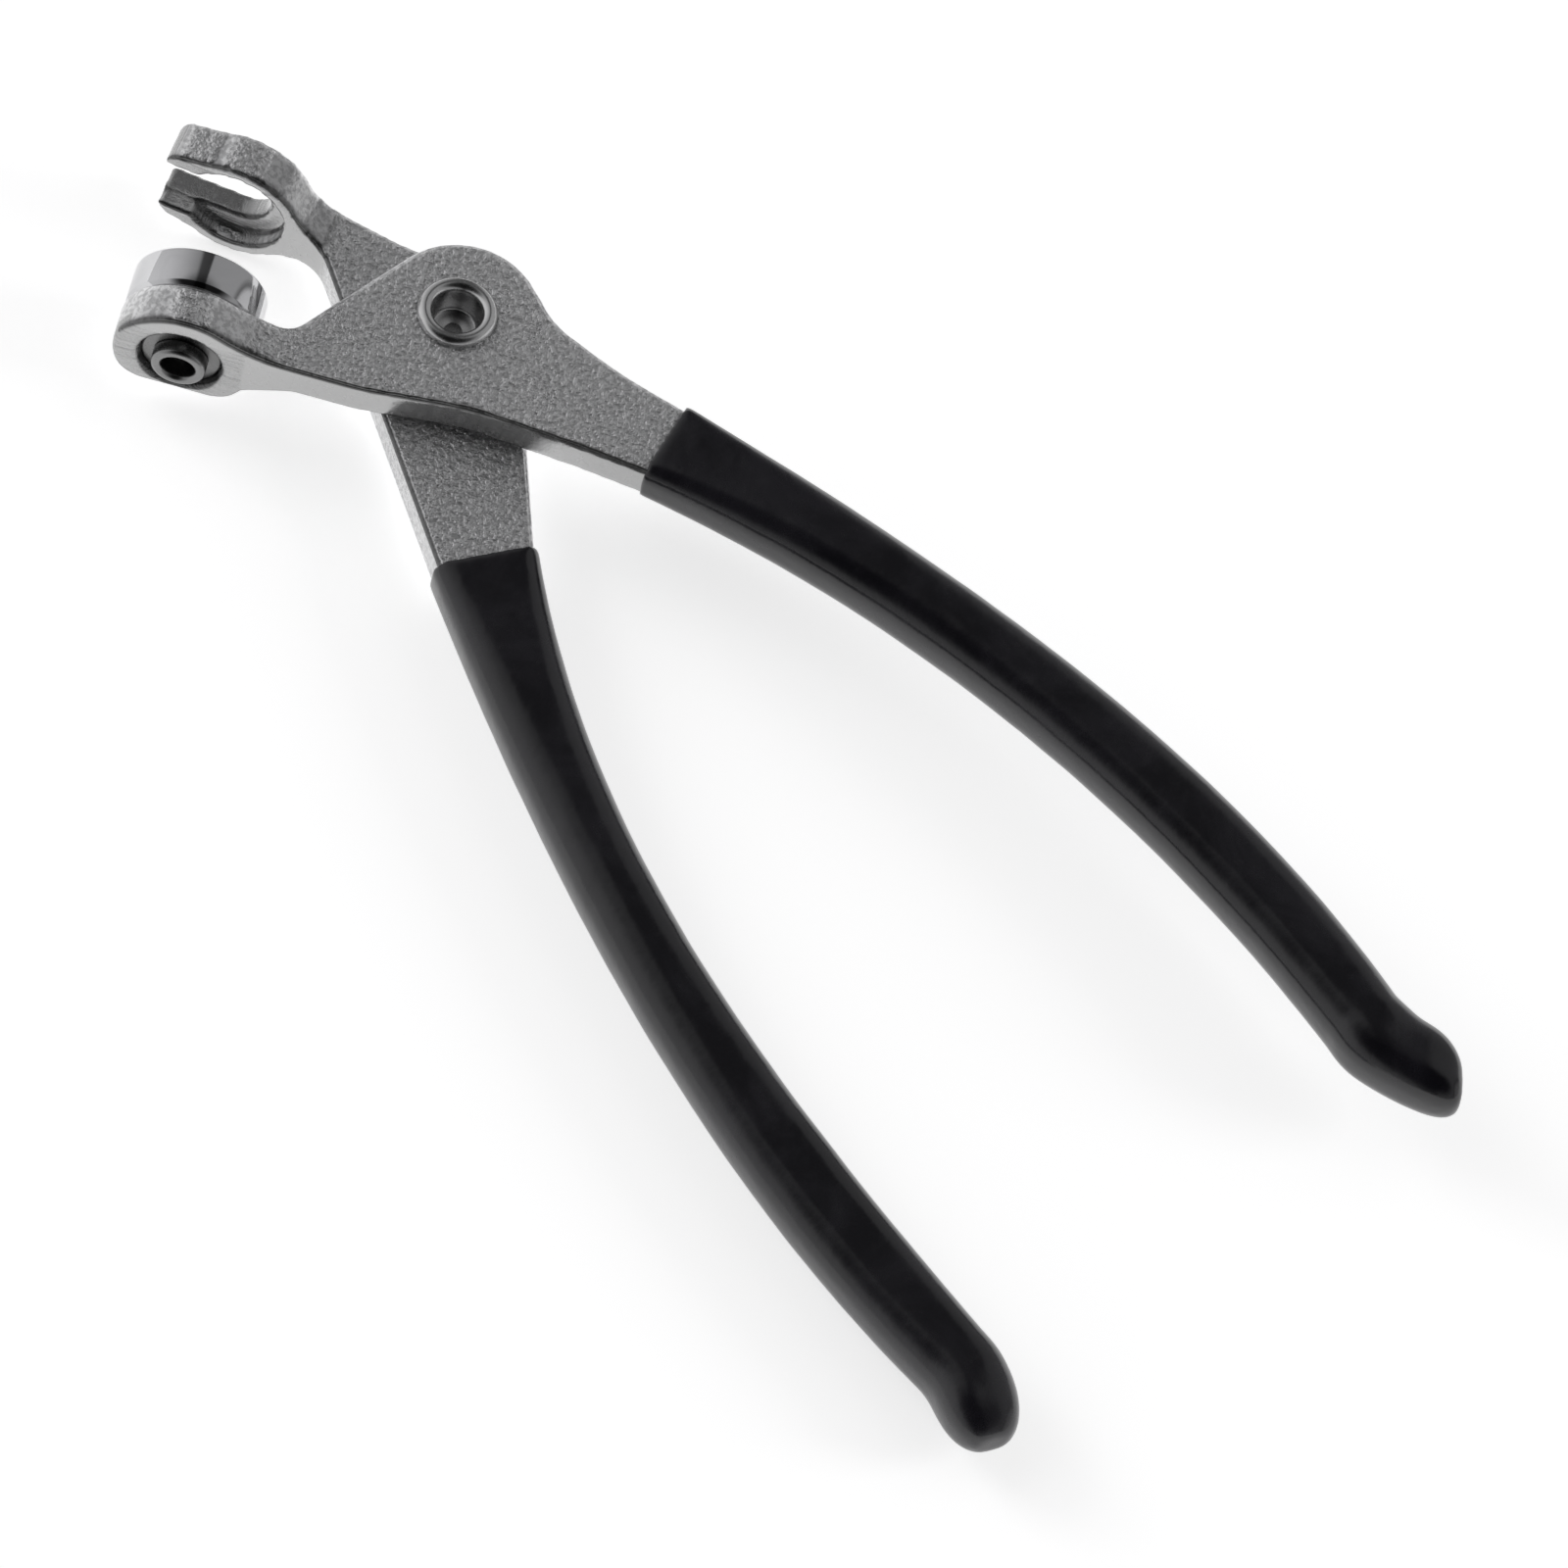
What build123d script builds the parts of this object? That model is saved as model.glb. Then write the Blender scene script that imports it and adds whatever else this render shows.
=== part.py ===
from build123d import *
from math import cos, radians, sin, sqrt
import os

# Snap setter pliers: two plated cast levers lapped on one tubular rivet, a
# slotted fork jaw above a round clinched die, and a dipped grip on each handle.
#
# Frame: the origin is on the pivot axis, in the near face of the lap joint.
# +X runs along the die jaw towards the handles, +Y from the die to the fork
# and +Z out of the near face. Lengths are in millimetres, angles in degrees.

# Lap joint
LAP_THICKNESS = 5.3
LAP_GAP = 0.1
LAP_ROUND_RADIUS = 10.5
LAP_MIDDLE = -(LAP_THICKNESS + LAP_GAP / 2)
FAR_FACE = -(2 * LAP_THICKNESS + LAP_GAP)
OPEN_ANGLE = 7.5

# Pivot rivet: a clinched tube with a round head on the far side
RIVET_RADIUS = 4.2
RIVET_CLEARANCE = 0.05
RIVET_WALL = 1.0
RIVET_HOLLOW_DEPTH = 3.9
RIVET_ROLL_LIP = 1.0
RIVET_ROLL_HEIGHT = 1.2
RIVET_HEAD_LIP = 1.6
RIVET_HEAD_HEIGHT = 1.7
RIVET_HEAD_GAP = 0.08

# Setting die, its tubular shank and the washer that the shank is rolled over
DIE_RADIUS = 8.8
DIE_HEIGHT = 5.6
DIE_EDGE_ROUND = 0.4
DIE_FOOT_CHAMFER = 0.6
DIE_CUP_RADIUS = 6.6
DIE_CUP_DEPTH = 1.2
SHANK_RADIUS = 3.0
SHANK_WALL = 0.8
SHANK_HOLLOW_DEPTH = 6.5
SHANK_ROLL_LIP = 0.6
SHANK_ROLL_HEIGHT = 2.2
WASHER_RADIUS = 5.2
WASHER_THICKNESS = 0.9
WASHER_CLEARANCE = 0.3
COUNTERBORE_DEPTH = 2.0

# Die jaw
JAW_REACH = 32.4
DIE_BOSS_WALL = 0.2
DIE_BOSS_RADIUS = DIE_RADIUS + DIE_BOSS_WALL
DIE_BOSS_TOP = -8.7
DIE_BOSS_BOTTOM = -15.0
DIE_BOSS_FAR_SIDE = 6.3
DIE_BOSS_FAR_ROUND = 4.5
DIE_ARM_BLEND = 20.0
THROAT_DEPTH = 8.9

# Fork jaw
FORK_HEAD_RADIUS = 8.9
FORK_HEAD_THICKNESS = 6.0
FORK_TIP_REACH = 10.0
FORK_TIP_NEAR_WIDTH = 6.6
FORK_TIP_FAR_WIDTH = 6.0
FORK_TIP_ROUND = 2.4
FORK_SEAT_HEIGHT = 5.2
FORK_NECK_BLEND = 8.0

# Fork seat: a round recess crossed by a slot that is open at the tip
SEAT_RADIUS = 6.95
SEAT_DEPTH = 2.5
SLOT_HALF_WIDTH = 4.2
SLOT_MOUTH_HALF_WIDTH = 4.5

# Handles: a bar inside each dipped grip. A handle's curve leaves the grip's
# mouth at one angle and reaches the elbow of its tip at another; the two pulls
# are the shares of its length over which it holds those angles. The tip
# turns to its end face's angle while its dome narrows: each pair is a share of
# the tip's length and the share of the full section left there.
CORE_WIDTH = 7.9
CORE_THICKNESS = 6.8
CORE_END_WIDTH = 6.0
CORE_ROUND = 1.2
MOUTH_GRIP_WALL = 0.9
MOUTH_ROUND = 2.2
GRIP_WALL = 1.3
GRIP_ROUND = 3.9

DIE_HANDLE_WIDTH = 11.0
DIE_HANDLE_LENGTH = 118.1
DIE_HANDLE_START = (29.8, -9.9)
DIE_HANDLE_CHORD = -27.6
DIE_HANDLE_ANGLES = (-14.6, -42.7)
DIE_HANDLE_PULLS = (0.34, 0.35)
DIE_TIP_ELBOW = (6.5, -30.0)
DIE_TIP_END = (8.6, -15.0)
DIE_TIP_FACE = 13.0
DIE_TIP_DOME = ((0.5, 0.97), (0.85, 0.80), (1.0, 0.50))

FORK_HANDLE_WIDTH = 12.6
FORK_HANDLE_LENGTH = 126.3
FORK_HANDLE_START = (15.9, -28.7)
FORK_HANDLE_CHORD = -41.0
FORK_HANDLE_ANGLES = (-52.4, -31.8)
FORK_HANDLE_PULLS = (0.39, 0.55)
FORK_TIP_ELBOW = (5.0, -39.0)
FORK_TIP_END = (7.4, -49.0)
FORK_TIP_FACE = -49.0
FORK_TIP_DOME = ((0.5, 0.90), (0.85, 0.66), (1.0, 0.40))


def outline(corners):
    """A closed face whose corners are (x, y, fillet radius)."""
    points = [(x, y) for x, y, radius in corners]
    radii = [radius for x, y, radius in corners]
    return make_face(FilletPolyline(*points, radius=radii, close=True))


def on_z(radius, bottom, top):
    """A cylinder on the pivot axis between two heights."""
    standing = Cylinder(radius, top - bottom, align=(Align.CENTER, Align.CENTER, Align.MIN))
    return Pos(0, 0, bottom) * standing


def on_y(radius, bottom, top):
    """A cylinder on the jaw axis between two heights along Y."""
    standing = Cylinder(radius, top - bottom, align=(Align.CENTER, Align.CENTER, Align.MIN))
    return Pos(-JAW_REACH, bottom, LAP_MIDDLE) * Rot(-90, 0, 0) * standing


def direction(angle):
    """The unit vector at an angle in the plane of the levers."""
    return Vector(cos(radians(angle)), sin(radians(angle)), 0)


def handle_path(start, chord, length, angles, pulls, height):
    """A handle's centre line from the grip's mouth to where the tip turns out."""
    first = Vector(start[0], start[1], height)
    last = first + length * direction(chord)
    leaving = first + pulls[0] * length * direction(angles[0])
    arriving = last - pulls[1] * length * direction(angles[1])
    return Bezier(first, leaving, arriving, last)


def across(origin, angle):
    """A section plane across a tip: local x in the plane of the levers, local y along Z."""
    return Plane(origin=origin, x_dir=direction(angle + 90), z_dir=direction(angle))


def stations(path, shares):
    """Section planes at shares of a handle's centre line."""
    planes = []
    for share in shares:
        along = path % share
        planes.append(Plane(origin=path @ share, x_dir=along.rotate(Axis.Z, 90), z_dir=along))
    return planes


def bar(planes, sizes):
    """A bar lofted through rounded rectangles (width, thickness, corner radius)."""
    sections = [
        plane * RectangleRounded(width, thickness, radius)
        for plane, (width, thickness, radius) in zip(planes, sizes)
    ]
    return loft(sections)


def handle_core(path, mouth_width):
    """The bar inside a grip, from the grip's mouth to short of its end."""
    sizes = (
        (mouth_width, LAP_THICKNESS, CORE_ROUND),
        (CORE_WIDTH, CORE_THICKNESS, CORE_ROUND),
        (CORE_WIDTH, CORE_THICKNESS, CORE_ROUND),
        (CORE_END_WIDTH, LAP_THICKNESS, CORE_ROUND),
    )
    return bar(stations(path, (0.0, 0.25, 0.55, 0.95)), sizes)


def grip_section():
    """The full section of a grip away from its mouth: width, thickness and corner radius."""
    return (CORE_WIDTH + 2 * GRIP_WALL, CORE_THICKNESS + 2 * GRIP_WALL, GRIP_ROUND)


def grip_tip(path, elbow_turn, end_turn, face_angle, dome):
    """The closed end of a grip: it turns outwards past the handle's end and domes over."""
    full = grip_section()
    elbow = (path @ 1) + elbow_turn[0] * direction(elbow_turn[1])
    planes = [stations(path, (1.0,))[0], across(elbow, (elbow_turn[1] + end_turn[1]) / 2)]
    sizes = [full, full]
    for share, size in dome:
        place = elbow + share * end_turn[0] * direction(end_turn[1])
        planes.append(across(place, end_turn[1] + share * (face_angle - end_turn[1])))
        sizes.append([size * dimension for dimension in full])
    return bar(planes, sizes)


def grip(path, mouth_width, tip, lever):
    """A dipped sleeve: open at the mouth, fitted over the lever's bar, closed by its tip."""
    mouth = (mouth_width + 2 * MOUTH_GRIP_WALL, LAP_THICKNESS + 2 * MOUTH_GRIP_WALL, MOUTH_ROUND)
    full = grip_section()
    sleeve = bar(stations(path, (0.0, 0.25, 0.55, 1.0)), (mouth, full, full, full))
    return sleeve + tip - lever


def die_lever():
    """The near lever: boss jaw, lap plate and handle bar, bored for the rivet and the shank."""
    beyond = -JAW_REACH - 2 * DIE_BOSS_RADIUS
    side = outline((
        (beyond, DIE_BOSS_TOP, 0),
        (beyond, DIE_BOSS_BOTTOM, 0),
        (-9.0, DIE_BOSS_BOTTOM, 40.0),
        (5.0, DIE_BOSS_BOTTOM + 1.6, 40.0),
        (20.0, DIE_BOSS_BOTTOM + 0.5, 40.0),
        (29.9, -15.7, 0),
        (32.9, -5.2, 0),
        (22.0, -1.8, 60.0),
        (12.6, 2.6, 10.0),
        (-0.15, LAP_ROUND_RADIUS + 6.7, LAP_ROUND_RADIUS),
        (-JAW_REACH + 12.8, -THROAT_DEPTH, 3.0),
        (-JAW_REACH + 7.4, DIE_BOSS_TOP, 6.0),
    ))
    body = extrude(side, amount=2 * DIE_BOSS_RADIUS, both=True)
    body &= extrude(die_jaw_plan(), amount=2 * JAW_REACH, both=True)
    body += handle_core(DIE_PATH, DIE_HANDLE_WIDTH)
    body -= on_z(RIVET_RADIUS, FAR_FACE, RIVET_ROLL_HEIGHT)
    body -= on_y(SHANK_RADIUS, DIE_BOSS_BOTTOM - 1, DIE_BOSS_TOP + 1)
    counterbore_radius = WASHER_RADIUS + WASHER_CLEARANCE
    body -= on_y(counterbore_radius, DIE_BOSS_BOTTOM - 1, DIE_BOSS_BOTTOM + COUNTERBORE_DEPTH)
    return body


def die_jaw_plan():
    """The die lever seen along Y: round boss, flared near side and an arm thicker than the lap."""
    lap_side = LAP_MIDDLE + LAP_GAP / 2
    far_side = LAP_MIDDLE - DIE_BOSS_FAR_SIDE
    wide = 4 * DIE_BOSS_RADIUS
    with BuildSketch(Plane.XZ) as sketch:
        with Locations((-JAW_REACH, LAP_MIDDLE)):
            Circle(DIE_BOSS_RADIUS)
        with Locations((-JAW_REACH, far_side)):
            Rectangle(wide, wide, align=(Align.CENTER, Align.MAX), mode=Mode.SUBTRACT)
        fillet(sketch.vertices(), DIE_BOSS_FAR_ROUND)
        with BuildLine():
            Polyline(
                (2 * JAW_REACH, 0),
                (-JAW_REACH, 0),
                (-JAW_REACH, LAP_MIDDLE - 3.3),
                (-JAW_REACH + 7.6, LAP_MIDDLE - 3.3),
                (-JAW_REACH + 15.1, lap_side),
                (2 * JAW_REACH, lap_side),
                close=True,
            )
        make_face()
        near_root = (-JAW_REACH + DIE_BOSS_RADIUS, 0)
        fillet(sketch.vertices().sort_by_distance(near_root)[0], DIE_ARM_BLEND)
    return sketch.sketch


def fork_jaw_plan():
    """The fork lever seen along Y: round head drawn out to a flat tip, blended into the lap plate."""
    lap_side = LAP_MIDDLE - LAP_GAP / 2
    tip = -JAW_REACH - FORK_TIP_REACH
    far_root_reach = sqrt(FORK_HEAD_RADIUS**2 - LAP_THICKNESS**2)
    with BuildSketch(Plane.XZ) as sketch:
        with Locations((-JAW_REACH, LAP_MIDDLE)):
            Circle(FORK_HEAD_RADIUS)
        with BuildLine():
            Polyline(
                (-JAW_REACH, LAP_MIDDLE + FORK_HEAD_RADIUS),
                (tip, LAP_MIDDLE + FORK_TIP_NEAR_WIDTH),
                (tip, LAP_MIDDLE - FORK_TIP_FAR_WIDTH),
                (-JAW_REACH, LAP_MIDDLE - FORK_HEAD_RADIUS),
                close=True,
            )
        make_face()
        fillet(sketch.vertices().group_by(Axis.X)[0], FORK_TIP_ROUND)
        with BuildLine():
            Polyline(
                (2 * JAW_REACH, lap_side),
                (-JAW_REACH, lap_side),
                (-JAW_REACH, FAR_FACE),
                (2 * JAW_REACH, FAR_FACE),
                close=True,
            )
        make_face()
        near_root = (-JAW_REACH + FORK_HEAD_RADIUS, lap_side)
        far_root = (-JAW_REACH + far_root_reach, FAR_FACE)
        for root in (near_root, far_root):
            fillet(sketch.vertices().sort_by_distance(root)[0], FORK_NECK_BLEND)
    return sketch.sketch


def fork_lever():
    """The far lever, drawn with its jaw parallel to the die: slotted head, lap plate, handle bar."""
    top = FORK_SEAT_HEIGHT + FORK_HEAD_THICKNESS
    beyond = -JAW_REACH - 2 * FORK_HEAD_RADIUS
    side = outline((
        (beyond, top, 0),
        (beyond, FORK_SEAT_HEIGHT, 0),
        (-JAW_REACH + 12.3, FORK_SEAT_HEIGHT, 6.0),
        (11.7, -33.8, 0),
        (21.3, -25.4, 0),
        (10.4, -1.5, 12.0),
        (10.2, LAP_ROUND_RADIUS - 0.2, 9.5),
        (-11.0, LAP_ROUND_RADIUS - 0.2, 20.0),
        (-JAW_REACH + 13.4, top, 20.0),
    ))
    body = extrude(side, amount=2 * FORK_HEAD_RADIUS, both=True)
    body &= extrude(fork_jaw_plan(), amount=2 * JAW_REACH, both=True)
    body += handle_core(FORK_PATH, FORK_HANDLE_WIDTH)
    body -= on_z(RIVET_RADIUS + RIVET_CLEARANCE, FAR_FACE - 1, 0)
    body -= fork_slot(SLOT_HALF_WIDTH, top + 1)
    body -= fork_slot(SLOT_MOUTH_HALF_WIDTH, FORK_SEAT_HEIGHT + SEAT_DEPTH)
    body -= on_y(SEAT_RADIUS, FORK_SEAT_HEIGHT - 1, FORK_SEAT_HEIGHT + SEAT_DEPTH)
    return body


def fork_slot(half_width, top):
    """A slot through the fork head from its tip to a round end on the jaw axis."""
    bottom = FORK_SEAT_HEIGHT - 1
    channel = Pos(-JAW_REACH, bottom, LAP_MIDDLE) * Box(
        2 * FORK_TIP_REACH,
        top - bottom,
        2 * half_width,
        align=(Align.MAX, Align.MIN, Align.CENTER),
    )
    return channel + on_y(half_width, bottom, top)


def pivot_rivet():
    """The pivot: shank, domed far head, and the near end rolled over around its hollow."""
    head_top = FAR_FACE - RIVET_HEAD_GAP
    hollow_radius = RIVET_RADIUS - RIVET_WALL
    roll_radius = RIVET_RADIUS + RIVET_ROLL_LIP
    body = on_z(RIVET_RADIUS, head_top, 0) + on_z(roll_radius, 0, RIVET_ROLL_HEIGHT)
    body -= on_z(hollow_radius, -RIVET_HOLLOW_DEPTH, RIVET_ROLL_HEIGHT)
    crest = body.edges().filter_by(GeomType.CIRCLE).group_by(Axis.Z)[-1]
    body = fillet(crest, 0.48 * min(roll_radius - hollow_radius, 2 * RIVET_ROLL_HEIGHT))
    head = on_z(RIVET_RADIUS + RIVET_HEAD_LIP, head_top - RIVET_HEAD_HEIGHT, head_top)
    rim = head.edges().filter_by(GeomType.CIRCLE).sort_by(Axis.Z)[0]
    return body + fillet(rim, 0.8 * RIVET_HEAD_HEIGHT)


def setting_die():
    """The round die: cupped top, foot chamfer, tubular shank rolled over the washer."""
    top = DIE_BOSS_TOP + DIE_HEIGHT
    roll_top = DIE_BOSS_BOTTOM + COUNTERBORE_DEPTH - WASHER_THICKNESS
    roll_bottom = roll_top - SHANK_ROLL_HEIGHT
    body = on_y(DIE_RADIUS, DIE_BOSS_TOP, top)
    rims = body.edges().filter_by(GeomType.CIRCLE).sort_by(Axis.Y)
    body = fillet(rims[-1], DIE_EDGE_ROUND)
    foot = body.edges().filter_by(GeomType.CIRCLE).sort_by(Axis.Y)[0]
    body = chamfer(foot, DIE_FOOT_CHAMFER)
    body += on_y(SHANK_RADIUS, roll_bottom, DIE_BOSS_TOP)
    roll = on_y(SHANK_RADIUS + SHANK_ROLL_LIP, roll_bottom, roll_top)
    lip = roll.edges().filter_by(GeomType.CIRCLE).sort_by(Axis.Y)[0]
    body += fillet(lip, SHANK_ROLL_HEIGHT / 2)
    body -= on_y(SHANK_RADIUS - SHANK_WALL, roll_bottom, roll_bottom + SHANK_HOLLOW_DEPTH)
    body -= on_y(DIE_CUP_RADIUS, top - DIE_CUP_DEPTH, top)
    return body


def die_washer():
    """The flat washer in the counterbore, under the die shank's rolled end."""
    seat = DIE_BOSS_BOTTOM + COUNTERBORE_DEPTH
    disc = on_y(WASHER_RADIUS, seat - WASHER_THICKNESS, seat)
    return disc - on_y(SHANK_RADIUS, DIE_BOSS_BOTTOM, seat)


def opened(body):
    """Turn a piece of the fork side from the parallel jaws to the open rest pose."""
    return Rot(0, 0, -OPEN_ANGLE) * body


DIE_PATH = handle_path(
    DIE_HANDLE_START,
    DIE_HANDLE_CHORD,
    DIE_HANDLE_LENGTH,
    DIE_HANDLE_ANGLES,
    DIE_HANDLE_PULLS,
    -LAP_THICKNESS / 2,
)
FORK_PATH = handle_path(
    FORK_HANDLE_START,
    FORK_HANDLE_CHORD,
    FORK_HANDLE_LENGTH,
    FORK_HANDLE_ANGLES,
    FORK_HANDLE_PULLS,
    FAR_FACE + LAP_THICKNESS / 2,
)

near_lever = die_lever()
far_lever = fork_lever()
near_tip = grip_tip(DIE_PATH, DIE_TIP_ELBOW, DIE_TIP_END, DIE_TIP_FACE, DIE_TIP_DOME)
far_tip = grip_tip(FORK_PATH, FORK_TIP_ELBOW, FORK_TIP_END, FORK_TIP_FACE, FORK_TIP_DOME)
near_grip = grip(DIE_PATH, DIE_HANDLE_WIDTH, near_tip, near_lever)
far_grip = grip(FORK_PATH, FORK_HANDLE_WIDTH, far_tip, far_lever)
pieces = {
    "die_lever": near_lever,
    "fork_lever": opened(far_lever),
    "die_lever_grip": near_grip,
    "fork_lever_grip": opened(far_grip),
    "pivot_rivet": pivot_rivet(),
    "setting_die": setting_die(),
    "die_washer": die_washer(),
}

os.makedirs("parts", exist_ok=True)
for name, piece in pieces.items():
    export_step(piece, f"parts/{name}.step")
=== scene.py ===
"""Finished look of the snap setter pliers: plated levers, turned rivet and die, dipped grips."""

import logging
import math
from collections.abc import Callable, Sequence
from dataclasses import dataclass, field
from enum import Enum

import bpy
from mathutils import Matrix, Vector

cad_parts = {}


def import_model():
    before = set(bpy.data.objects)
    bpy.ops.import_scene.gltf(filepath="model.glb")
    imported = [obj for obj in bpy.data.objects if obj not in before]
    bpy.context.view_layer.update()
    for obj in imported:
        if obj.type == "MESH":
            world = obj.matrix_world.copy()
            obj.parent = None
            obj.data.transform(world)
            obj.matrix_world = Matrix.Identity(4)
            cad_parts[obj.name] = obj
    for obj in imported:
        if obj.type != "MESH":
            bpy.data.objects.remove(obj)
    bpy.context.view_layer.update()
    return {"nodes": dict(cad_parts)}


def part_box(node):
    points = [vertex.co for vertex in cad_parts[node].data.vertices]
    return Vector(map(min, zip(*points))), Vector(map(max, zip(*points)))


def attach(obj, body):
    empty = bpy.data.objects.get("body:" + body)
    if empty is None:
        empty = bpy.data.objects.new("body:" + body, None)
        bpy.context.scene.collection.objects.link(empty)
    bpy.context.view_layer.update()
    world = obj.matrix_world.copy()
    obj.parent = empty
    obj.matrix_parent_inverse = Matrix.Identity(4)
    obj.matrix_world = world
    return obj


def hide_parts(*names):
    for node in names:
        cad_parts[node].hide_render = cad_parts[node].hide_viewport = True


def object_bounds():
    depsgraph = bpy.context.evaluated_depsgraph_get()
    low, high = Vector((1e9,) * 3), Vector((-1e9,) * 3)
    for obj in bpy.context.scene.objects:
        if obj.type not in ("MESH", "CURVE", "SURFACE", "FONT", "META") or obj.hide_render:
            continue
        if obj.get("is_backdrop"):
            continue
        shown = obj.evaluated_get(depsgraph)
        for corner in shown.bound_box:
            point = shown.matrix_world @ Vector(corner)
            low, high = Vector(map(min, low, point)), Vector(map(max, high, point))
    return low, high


log = logging.getLogger("snap_setter_pliers")

MM = 0.001
AXIS_HOLE = 0.05 * MM
MERGE_DISTANCE = 0.002 * MM
SMOOTH_ANGLE = math.radians(38)


class Side(Enum):
    """The two moving halves of the pliers, named as the bodies they ride on."""

    DIE = "die_side"
    FORK = "fork_side"


class Finish(Enum):
    """The record's material slots."""

    LEVER = "lever_plating"
    DIE = "die_plating"
    RIVET = "rivet_plating"
    VINYL = "grip_vinyl"


class SocketKind(Enum):
    """The kinds of value that a shared effect takes in or gives out."""

    NUMBER = "NodeSocketFloat"
    VECTOR = "NodeSocketVector"


# ----------------------------------------------------------------------------
# Node building
# ----------------------------------------------------------------------------


class Graph:
    """Adds and wires nodes in one node tree."""

    def __init__(self, tree: bpy.types.NodeTree) -> None:
        """Start from an empty tree.

        Args:
            tree: The node tree to fill.
        """
        self.tree = tree
        tree.nodes.clear()

    def add(self, kind: str, inputs: dict | None = None, **settings: object) -> bpy.types.Node:
        """Add a node, set its properties, and set or link its inputs.

        Args:
            kind: The node's type name.
            inputs: Socket name or index to a value or to an output socket.
            **settings: Node properties.

        Returns:
            The new node.
        """
        node = self.tree.nodes.new(kind)
        for key, value in settings.items():
            setattr(node, key, value)
        self.fill(node, inputs or {})
        return node

    def fill(self, node: bpy.types.Node, inputs: dict) -> None:
        """Set or link a node's inputs.

        Args:
            node: The node to fill.
            inputs: Socket name or index to a value or to an output socket.
        """
        for key, value in inputs.items():
            if isinstance(value, bpy.types.NodeSocket):
                self.tree.links.new(value, node.inputs[key])
            else:
                node.inputs[key].default_value = value

    def math(
        self, operation: str, first: object, second: object = 0.0, clamp: bool = False
    ) -> bpy.types.NodeSocket:
        """Work out one value from two.

        Args:
            operation: The Math node's operation.
            first: The first value or socket.
            second: The second value or socket.
            clamp: Whether the result is kept between 0 and 1.

        Returns:
            The result.
        """
        node = self.add("ShaderNodeMath", {0: first, 1: second}, operation=operation, use_clamp=clamp)
        return node.outputs[0]

    def fade(
        self, value: object, start: float, end: float, low: float = 0.0, high: float = 1.0
    ) -> bpy.types.NodeSocket:
        """Map a value smoothly from one range to another.

        Args:
            value: The value or socket to map.
            start: Where the result is low.
            end: Where the result is high.
            low: The result at start.
            high: The result at end.

        Returns:
            The mapped value.
        """
        inputs = {"Value": value, "From Min": start, "From Max": end, "To Min": low, "To Max": high}
        return self.add("ShaderNodeMapRange", inputs, interpolation_type="SMOOTHSTEP").outputs[0]

    def tint(self, factor: object, dark: Sequence[float], light: Sequence[float]) -> bpy.types.NodeSocket:
        """Mix two colours.

        Args:
            factor: 0 for the dark colour and 1 for the light one.
            dark: The colour at 0.
            light: The colour at 1.

        Returns:
            The mixed colour.
        """
        node = self.add("ShaderNodeMix", {0: factor, 6: (*dark, 1.0), 7: (*light, 1.0)}, data_type="RGBA")
        return node.outputs[2]

    def group(self, shared: bpy.types.NodeTree, inputs: dict) -> bpy.types.Node:
        """Place a shared effect with its own values.

        Args:
            shared: The effect's node group.
            inputs: Its input names and their values or sockets.

        Returns:
            The group's node.
        """
        node = self.tree.nodes.new("ShaderNodeGroup")
        node.node_tree = shared
        self.fill(node, inputs)
        return node


def new_group(
    name: str, inputs: dict[str, SocketKind], outputs: Sequence[str]
) -> tuple[bpy.types.NodeTree, Graph, bpy.types.Node]:
    """Make an empty shared effect with named inputs and outputs.

    Args:
        name: The effect's name.
        inputs: Input names and their kinds.
        outputs: Output names, all numbers.

    Returns:
        The group's tree, its graph and its input node.
    """
    tree = bpy.data.node_groups.new(name, "ShaderNodeTree")
    for label, kind in inputs.items():
        tree.interface.new_socket(name=label, in_out="INPUT", socket_type=kind.value)
    for label in outputs:
        tree.interface.new_socket(name=label, in_out="OUTPUT", socket_type=SocketKind.NUMBER.value)
    graph = Graph(tree)
    return tree, graph, graph.add("NodeGroupInput")


def cast_grain_group() -> bpy.types.NodeTree:
    """Build the pebbled skin that a sand casting keeps under its plating.

    Returns:
        The effect's node group.
    """
    inputs = {"Place": SocketKind.VECTOR, "Pebbles per metre": SocketKind.NUMBER}
    tree, g, given = new_group("cast_grain", inputs, ("Height", "Pits"))
    scale = given.outputs["Pebbles per metre"]
    place = given.outputs["Place"]
    pebbles = g.add("ShaderNodeTexNoise", {"Vector": place, "Scale": scale, "Detail": 2.5, "Roughness": 0.55})
    broad = g.add(
        "ShaderNodeTexNoise",
        {"Vector": place, "Scale": g.math("MULTIPLY", scale, 0.30), "Detail": 2.0, "Roughness": 0.5},
    )
    fine = g.math("MULTIPLY", pebbles.outputs[0], 0.80)
    swell = g.math("MULTIPLY", broad.outputs[0], 0.45)
    out = g.add("NodeGroupOutput")
    g.tree.links.new(g.math("ADD", fine, swell), out.inputs["Height"])
    g.tree.links.new(g.fade(pebbles.outputs[0], 0.38, 0.60), out.inputs["Pits"])
    return tree


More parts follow.
